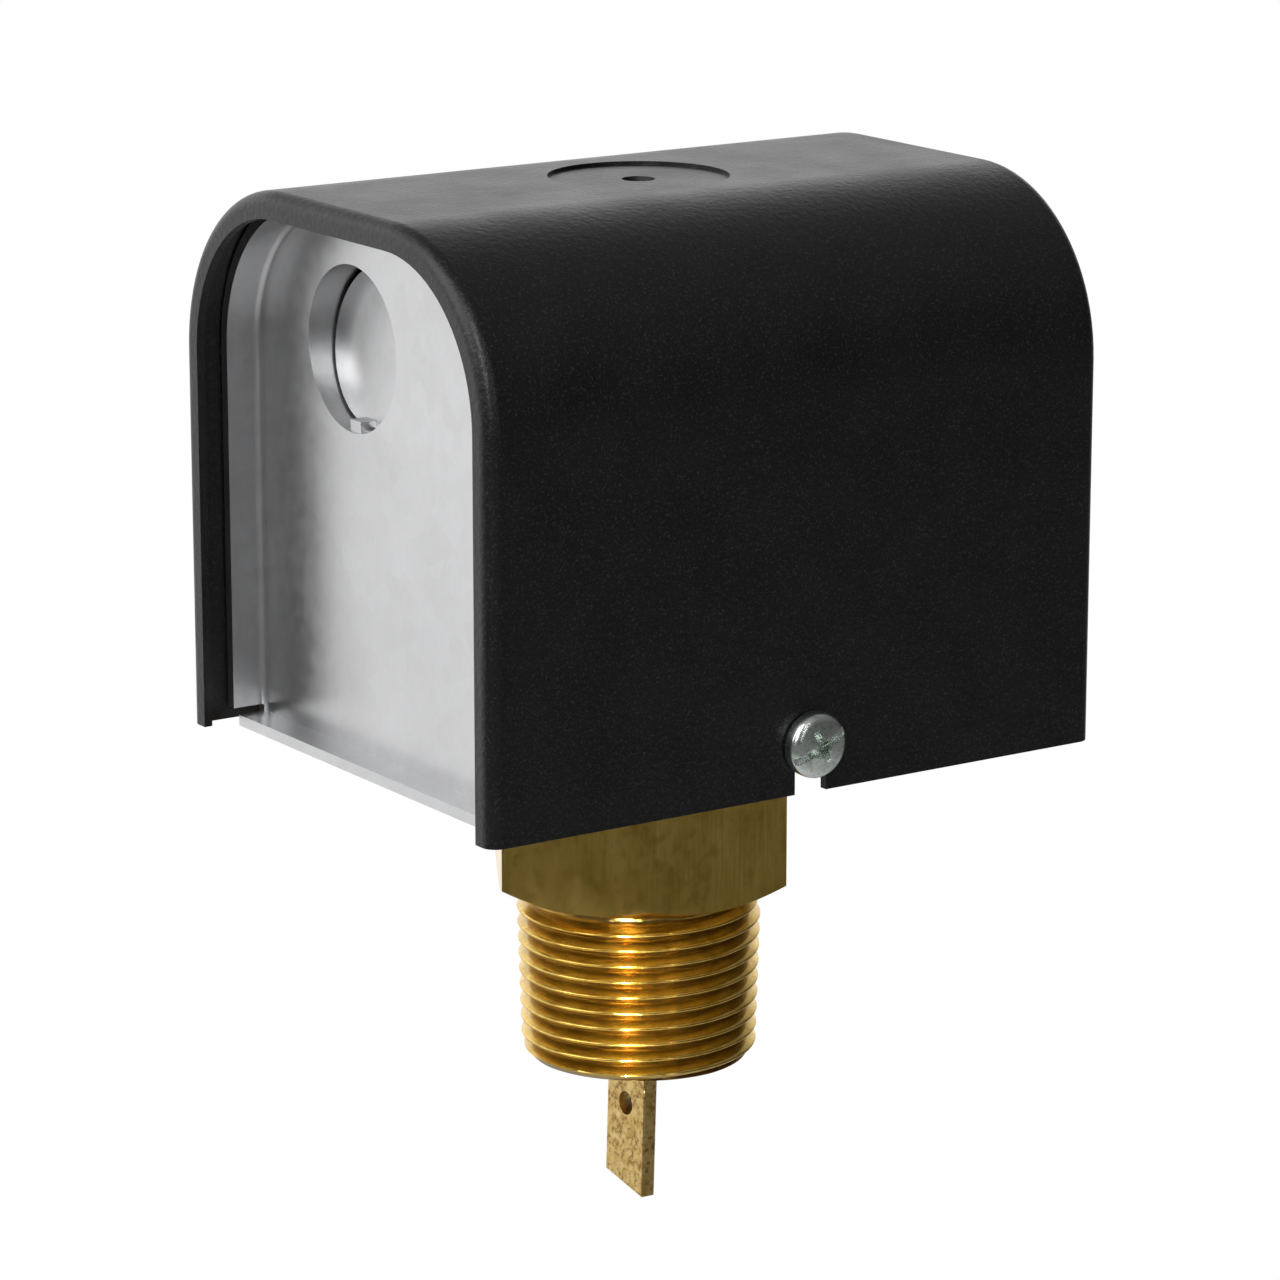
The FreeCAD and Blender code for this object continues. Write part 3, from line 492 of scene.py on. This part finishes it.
def thread_rows(angles, end_z):
    """Radius and height of each helical row of points, from the neck down to the thread's end."""
    lift = PITCH * angles / (2 * math.pi)
    lead_radius = THREAD_TOP_RADIUS + end_z * TAPER - LEAD_CHAMFER
    turns = int(math.ceil((NECK_LENGTH - end_z) / PITCH)) + 2
    rows = []
    for turn in range(-1, turns):
        for sample in THREAD_SAMPLES:
            z = np.clip(-(turn + sample) * PITCH + lift, end_z, -NECK_LENGTH)
            crest = THREAD_TOP_RADIUS + z * TAPER
            radius = crest - THREAD_DEPTH * thread_profile((z - lift) / PITCH)
            full = np.clip((-NECK_LENGTH - z) / RUN_OUT, 0, 1)
            radius = radius * full + np.minimum(radius, NECK_RADIUS) * (1 - full)
            lead = lead_radius + (z - end_z)
            radius = np.minimum(radius, np.maximum(lead, crest - THREAD_DEPTH))
            radius = np.where(z <= end_z + TINY, np.minimum(radius, lead_radius), radius)
            rows.append((radius, z))
    return rows


def pipe_body():
    """Hexagon, spigot, relief neck, helical taper thread and bore, as one closed row of rings."""
    low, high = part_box("pipe_body")
    angles = np.arange(ROUND) * 2 * math.pi / ROUND
    flats = high.y - low.y
    corners = hexagon_radius(angles, flats)
    inset = flats / 2 - HEX_CHAMFER_INSET
    rise = (corners - inset) * math.tan(math.radians(HEX_CHAMFER_ANGLE))
    above = [(BORE_RADIUS, high.z), (SPIGOT_RADIUS, high.z), (SPIGOT_RADIUS, HEX_TOP), (inset, HEX_TOP),
             (corners, HEX_TOP - rise), (corners, rise), (inset, 0),
             (NECK_RADIUS + NECK_FILLET, 0), (NECK_RADIUS, -NECK_FILLET)]
    thread = thread_rows(angles, low.z)
    end = [(BORE_RADIUS + BORE_CHAMFER, low.z), (BORE_RADIUS, low.z + BORE_CHAMFER)]
    rings = [circle(radius, z, ROUND) for radius, z in above + thread + end]
    shifts = [0] * len(above) + [len(THREAD_SAMPLES)] * len(thread) + [0] * len(end)
    mesh = ring_mesh("pipe_body_form", rings, closed=True, seam_shift=shifts)
    piece = piece_from("pipe_body_brass", mesh, ["pipe_body"], "housing")
    smooth(piece)


# Cover screws
SCREW_ROUND = 96
SCREW_SAMPLES = (0.0, 0.2, 0.45, 0.55, 0.8)
SCREW_HEAD_HEIGHT = 2.7 * MM
SCREW_SHANK_RADIUS = 2.05 * MM
SCREW_LENGTH = 5.0 * MM
SCREW_PITCH = 0.9 * MM
SCREW_THREAD_DEPTH = 0.55 * SCREW_PITCH
SCREW_PLAIN = 0.3 * SCREW_PITCH


def pan_profile(radius, height):
    """Outline of a pan head from its seat to its crown, as (radius, z)."""
    edge = 0.06 * height
    rim = 0.42 * height
    crown = 0.86 * height
    points = [(radius - edge, 0.0), (radius, edge), (radius, rim)]
    for step in range(1, 7):
        turn = math.radians(15 * step)
        points.append((radius * (0.62 + 0.38 * math.cos(turn)), rim + (crown - rim) * math.sin(turn)))
    points += [(radius * 0.4, height * 0.955), (radius * 0.2, height * 0.99)]
    return points


def screw_mesh(name, size):
    """Pan-head screw standing on Z = 0, with a threaded shank below."""
    radius, height, shank = size
    angles = np.arange(SCREW_ROUND) * 2 * math.pi / SCREW_ROUND
    lift = SCREW_PITCH * angles / (2 * math.pi)
    turns = int(math.ceil(SCREW_LENGTH / SCREW_PITCH)) + 2
    head = [(0.0, height)] + pan_profile(radius, height)[::-1] + [(shank, 0), (shank, -SCREW_PLAIN)]
    thread = []
    for turn in range(-1, turns):
        for sample in SCREW_SAMPLES:
            z = np.clip(-(turn + sample) * SCREW_PITCH + lift, -SCREW_LENGTH, -SCREW_PLAIN)
            thread_radius = shank - SCREW_THREAD_DEPTH * thread_profile((z - lift) / SCREW_PITCH)
            lead = np.clip((z + SCREW_LENGTH) / SCREW_PITCH, 0, 1)
            lead_radius = shank - SCREW_THREAD_DEPTH + SCREW_THREAD_DEPTH * lead
            thread.append((np.minimum(thread_radius, lead_radius), z))
    rows = [circle(r, z, SCREW_ROUND) for r, z in head + thread + [(0.0, -SCREW_LENGTH)]]
    shifts = [0] * len(head) + [len(SCREW_SAMPLES)] * len(thread) + [0]
    mesh = ring_mesh(name, rows, closed=False, seam_shift=shifts)
    return cut_recess(mesh, radius, height)


def blade(width, thickness, top, depth, taper):
    """Tapered prism that cuts one bar of a screw's recess."""
    work = bmesh.new()
    low = top - depth
    corners = []
    for z, share in ((low, taper), (top + depth, 1 + (1 - taper))):
        for x, y in ((-1, -1), (1, -1), (1, 1), (-1, 1)):
            across = y * thickness * (0.5 + 0.5 * share) / 2
            corners.append(work.verts.new((x * width * share / 2, across, z)))
    quads = [(3, 2, 1, 0), (4, 5, 6, 7), (0, 1, 5, 4), (1, 2, 6, 5), (2, 3, 7, 6), (3, 0, 4, 7)]
    for quad in quads:
        work.faces.new([corners[k] for k in quad])
    mesh = bpy.data.meshes.new("blade")
    work.to_mesh(mesh)
    work.free()
    return mesh


def cut_recess(mesh, radius, height):
    """Cut a slot and a cross into a pan head."""
    tools = [(blade(radius * 2.3, radius * 0.24, height, height * 0.42, 1.0), 0)]
    for turn in (0, 90):
        tools.append((blade(radius * 1.15, radius * 0.25, height, height * 0.75, 0.55), turn))
    body = bpy.data.objects.new("head_work", mesh)
    bpy.context.scene.collection.objects.link(body)
    helpers = []
    for tool, turn in tools:
        helper = bpy.data.objects.new("blade_work", tool)
        helper.rotation_euler = (0, 0, math.radians(turn))
        bpy.context.scene.collection.objects.link(helper)
        cut = body.modifiers.new("cut", "BOOLEAN")
        cut.operation = "DIFFERENCE"
        cut.solver = "EXACT"
        cut.object = helper
        helpers.append(helper)
    bpy.context.view_layer.update()
    ready = body.evaluated_get(bpy.context.evaluated_depsgraph_get())
    result = bpy.data.meshes.new_from_object(ready)
    for helper in helpers + [body]:
        bpy.data.objects.remove(helper)
    return result


def joined(name, mesh, places):
    """One mesh holding a copy of the given mesh at each 4x4 place."""
    work = bmesh.new()
    for place in places:
        copy = mesh.copy()
        copy.transform(place)
        work.from_mesh(copy)
        bpy.data.meshes.remove(copy)
    result = bpy.data.meshes.new(name)
    work.to_mesh(result)
    work.free()
    return result


def cover_screws():
    """Two pan heads with a combination recess, one in each long wall of the cover."""
    low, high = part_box("cover_screws")
    radius = (high.z - low.z) / 2
    centre_x = (low.x + high.x) / 2
    centre_z = (low.z + high.z) / 2
    seat = high.y - SCREW_HEAD_HEIGHT
    mesh = screw_mesh("cover_screw_form", (radius, SCREW_HEAD_HEIGHT, SCREW_SHANK_RADIUS))
    places = []
    for side, turn in ((-1, 24), (1, -58)):
        upright = Matrix.Rotation(math.radians(90 * -side), 4, "X")
        spin = Matrix.Rotation(math.radians(turn), 4, "Z")
        places.append(Matrix.Translation((centre_x, side * seat, centre_z)) @ upright @ spin)
    form = joined("cover_screws_form", mesh, places)
    piece = piece_from("cover_screws_zinc", form, ["cover_screws"], "housing")
    bevel(piece, 0.07, 2, 35)
    smooth(piece)


# Bellows
BELLOWS_ROUND = 72
BELLOWS_CUFF_RADIUS = 6.3 * MM
BELLOWS_CUFF_LENGTH = 3.0 * MM
BELLOWS_ROOT_RADIUS = 6.35 * MM
BELLOWS_WALL = 0.25 * MM
FOLDS = 6
FOLD_PITCH = 2.0 * MM
FOLD_STEPS = 16
FOLD_FULLNESS = 0.75


def bellows():
    """Thin tube with rounded folds between two plain cuffs."""
    low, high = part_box("bellows")
    fold_depth = (high.x - low.x) / 2 - BELLOWS_ROOT_RADIUS
    first_fold = low.z + BELLOWS_CUFF_LENGTH - FOLD_PITCH / 4
    outline = [(BELLOWS_CUFF_RADIUS, low.z)]
    for step in range(FOLDS * FOLD_STEPS + 1):
        turn = step / FOLD_STEPS
        wave = 0.5 - 0.5 * math.cos(2 * math.pi * turn)
        radius = BELLOWS_ROOT_RADIUS + fold_depth * wave ** FOLD_FULLNESS
        outline.append((radius, first_fold + turn * FOLD_PITCH))
    outline.append((BELLOWS_CUFF_RADIUS, high.z))
    rings = [circle(r, z, BELLOWS_ROUND) for r, z in outline]
    rings += [circle(r - BELLOWS_WALL, z, BELLOWS_ROUND) for r, z in reversed(outline)]
    mesh = ring_mesh("bellows_form", rings)
    piece = piece_from("bellows_bronze", mesh, ["bellows"], None)
    smooth(piece)
    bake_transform(piece)


# Range spring. The end turns rise at a share of the middle turns' rate.
SPRING_WIRE_RADIUS = 0.45 * MM
SPRING_TURNS = 7.4
SPRING_END_TURNS = 0.9
SPRING_END_RATE = 0.25
SPRING_STEPS = 48
SPRING_SIDES = 14


def spring_rise(turn, height):
    """Height of the wire after that many turns."""
    rate = height / (SPRING_TURNS - 2 * SPRING_END_TURNS + 2 * SPRING_END_TURNS * SPRING_END_RATE)
    end_rate = SPRING_END_RATE * rate
    if turn < SPRING_END_TURNS:
        return end_rate * turn
    if turn < SPRING_TURNS - SPRING_END_TURNS:
        return end_rate * SPRING_END_TURNS + rate * (turn - SPRING_END_TURNS)
    return height - end_rate * (SPRING_TURNS - turn)


def range_spring():
    """Round-wire compression spring with closed ends."""
    low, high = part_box("range_spring")
    centre = (low + high) / 2
    mean = (high.x - low.x) / 2 - SPRING_WIRE_RADIUS
    bottom = low.z + SPRING_WIRE_RADIUS
    height = high.z - low.z - 2 * SPRING_WIRE_RADIUS
    steps = int(SPRING_TURNS * SPRING_STEPS)
    middles = []
    rings = []
    for step in range(steps + 1):
        turn = SPRING_TURNS * step / steps
        angle = 2 * math.pi * turn
        outward = Vector((math.cos(angle), math.sin(angle), 0))
        middle = outward * mean + Vector((centre.x, centre.y, bottom + spring_rise(turn, height)))
        ring = []
        for side in range(SPRING_SIDES):
            around = 2 * math.pi * side / SPRING_SIDES
            across = outward * math.cos(around) + UP * math.sin(around)
            ring.append(tuple(middle + across * SPRING_WIRE_RADIUS))
        middles.append(tuple(middle))
        rings.append(ring)
    caps = [[middles[end]] * SPRING_SIDES for end in (0, -1)]
    mesh = ring_mesh("range_spring_form", [caps[0]] + rings + [caps[1]], closed=False)
    piece = piece_from("range_spring_wire", mesh, ["range_spring"], "housing")
    smooth(piece)
    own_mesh(piece)


# ---------------------------------------------------------------- assembly

# Width of each kept node's softened edges, in millimetres
EDGES = {
    "cover": 0.25, "end_plate_left": 0.22, "end_plate_right": 0.22, "base_plate": 0.15,
    "pivot_yoke": 0.15, "switch_bracket": 0.18, "paddle_arm": 0.12, "arm_socket": 0.15, "pivot_hub": 0.25,
    "actuator_lever": 0.12, "switch_case": 0.3, "terminal_plates": 0.12, "insulator_sheet": 0.0,
    "spring_seat": 0.15, "flange_gasket": 0.1, "bellows_flange": 0.12, "pivot_pin": 0.15, "arm_stem": 0.1,
    "arm_rivet": 0.1, "pivot_clips": 0.08, "range_clip": 0.08, "switch_plunger": 0.0, "yoke_screws": 0.08,
    "bracket_screws": 0.08, "lever_screw": 0.08, "range_screw": 0.08, "terminal_screws": 0.08,
    "switch_screws": 0.08, "ground_screw": 0.08,
}
for name, edge in EDGES.items():
    dress_node(name, edge)
pipe_body()
cover_screws()
bellows()
range_spring()


# ---------------------------------------------------------------- studio

FLOOR_RADIUS = 1.4
FLOOR_Z = -0.6
FLOOR_GLOW = 0.9
# Levels of the world's light by height: 0 is straight down, 0.5 the horizon and 1 straight up.
REAR_LEVELS = [(0.0, 0.30), (0.28, 0.30), (0.36, 1.10), (0.50, 1.10), (0.56, 1.35), (0.68, 1.35),
               (0.78, 0.50), (0.90, 0.22)]
FRONT_LEVELS = [(0.0, 0.14), (0.40, 0.14), (0.55, 0.06), (0.90, 0.22)]
# The rear levels take over from the front ones between these Y shares of the direction.
REAR_FROM_Y = 0.1
REAR_FULL_Y = 0.7


def studio_floor():
    """Pale disc well below the object, nearly white to the camera, with the object's shadow kept."""
    bpy.ops.mesh.primitive_circle_add(vertices=96, radius=FLOOR_RADIUS, fill_type="NGON",
                                      location=(0, 0, FLOOR_Z))
    floor = bpy.context.object
    floor.name = "studio_floor"
    made = bpy.data.materials.new("studio_floor")
    made.use_nodes = True
    s = Shading(made.node_tree)
    diffuse = s.add("ShaderNodeBsdfDiffuse", {"Color": colour(0.8, 0.8, 0.8)})
    glow = s.add("ShaderNodeEmission", {"Color": colour(1, 1, 1), "Strength": 1.0})
    seen = s.add("ShaderNodeLightPath").outputs["Is Camera Ray"]
    share = s.math("MULTIPLY", seen, FLOOR_GLOW)
    mixed = s.add("ShaderNodeMixShader", {0: share, 1: diffuse.outputs[0], 2: glow.outputs[0]})
    s.add("ShaderNodeOutputMaterial", {"Surface": mixed.outputs[0]})
    floor.data.materials.append(made)


def studio_world():
    """White to the camera. For light and reflections, bright behind the object and dim in front."""
    world = bpy.data.worlds.new("studio")
    bpy.context.scene.world = world
    world.use_nodes = True
    s = Shading(world.node_tree)
    direction = s.add("ShaderNodeTexCoord").outputs["Generated"]
    _, forward, upward = s.add("ShaderNodeSeparateXYZ", {0: direction}).outputs
    height = s.spread(upward, 0.0, 1.0, -1.0, 1.0)
    behind = s.spread(forward, 0.0, 1.0, REAR_FROM_Y, REAR_FULL_Y)
    level = s.mix(behind, s.ramp(height, FRONT_LEVELS), s.ramp(height, REAR_LEVELS))
    dim = s.add("ShaderNodeBackground", {"Color": colour(1, 1, 1), "Strength": level})
    white = s.add("ShaderNodeBackground", {"Color": colour(1, 1, 1), "Strength": 1.0})
    seen = s.add("ShaderNodeLightPath").outputs["Is Camera Ray"]
    mixed = s.add("ShaderNodeMixShader", {0: seen, 1: dim.outputs[0], 2: white.outputs[0]})
    s.add("ShaderNodeOutputWorld", {"Surface": mixed.outputs[0]})


def softbox(name, azimuth, elevation, distance, width, height, power, aim, beam):
    """Area lamp at that azimuth (0 is -Y, 90 is -X) and elevation from the point it is aimed at."""
    data = bpy.data.lights.new(name, "AREA")
    data.shape = "RECTANGLE"
    data.size = width
    data.size_y = height
    data.energy = power
    data.spread = math.radians(beam)
    lamp = bpy.data.objects.new(name, data)
    bpy.context.scene.collection.objects.link(lamp)
    a = math.radians(azimuth)
    e = math.radians(elevation)
    away = Vector((-math.sin(a) * math.cos(e), -math.cos(a) * math.cos(e), math.sin(e)))
    lamp.location = aim + away * distance
    lamp.rotation_mode = "QUATERNION"
    lamp.rotation_quaternion = (-away).to_track_quat("-Z", "Y")
    lamp.visible_camera = False


TARGET = Vector((0, 0, 0.040816))
VIEW_AZIMUTH = 33.9967
VIEW_ELEVATION = 13.9748
VIEW_DISTANCE = 0.68704
VIEW_SHIFT = (-0.000181, 0.007193)
LENS = 144.40
SENSOR_WIDTH = 36.0
CLIP_RANGE = (0.01, 20)
THREAD_MIDDLE = Vector((0, 0, -0.010))
# Name, azimuth, elevation, distance, width, height, power, aim and beam angle, in degrees, metres and watts.
# The thread lamp's narrow beam stays on the brass thread and gives it its bright line.
LAMPS = [
    ("strip_left", VIEW_AZIMUTH + 11, 34, 1.0, 0.22, 0.8, 3.6, TARGET, 180),
    ("strip_right", VIEW_AZIMUTH - 32, 25, 1.0, 0.05, 0.8, 0.6, TARGET, 180),
    ("key_left", 100, 35, 0.9, 0.7, 0.7, 4.0, TARGET, 180),
    ("thread_lamp", VIEW_AZIMUTH + 11.8, -10, 0.26, 0.03, 0.02, 0.028, THREAD_MIDDLE, 5),
]


def studio_camera():
    """Camera at azimuth 34 left of -Y and 14 degrees up, with a long lens."""
    a = math.radians(VIEW_AZIMUTH)
    e = math.radians(VIEW_ELEVATION)
    back = Vector((-math.sin(a) * math.cos(e), -math.cos(a) * math.cos(e), math.sin(e)))
    right = Vector((math.cos(a), -math.sin(a), 0))
    up = back.cross(right)
    data = bpy.data.cameras.new("camera")
    data.lens = LENS
    data.sensor_width = SENSOR_WIDTH
    camera = bpy.data.objects.new("camera", data)
    bpy.context.scene.collection.objects.link(camera)
    camera.location = TARGET + back * VIEW_DISTANCE - right * VIEW_SHIFT[0] - up * VIEW_SHIFT[1]
    camera.rotation_mode = "QUATERNION"
    camera.rotation_quaternion = Matrix((right, up, back)).transposed().to_quaternion()
    data.clip_start, data.clip_end = CLIP_RANGE
    bpy.context.scene.camera = camera


studio_floor()
studio_world()
studio_camera()
for lamp in LAMPS:
    softbox(*lamp)
bpy.context.scene.view_settings.view_transform = "Standard"
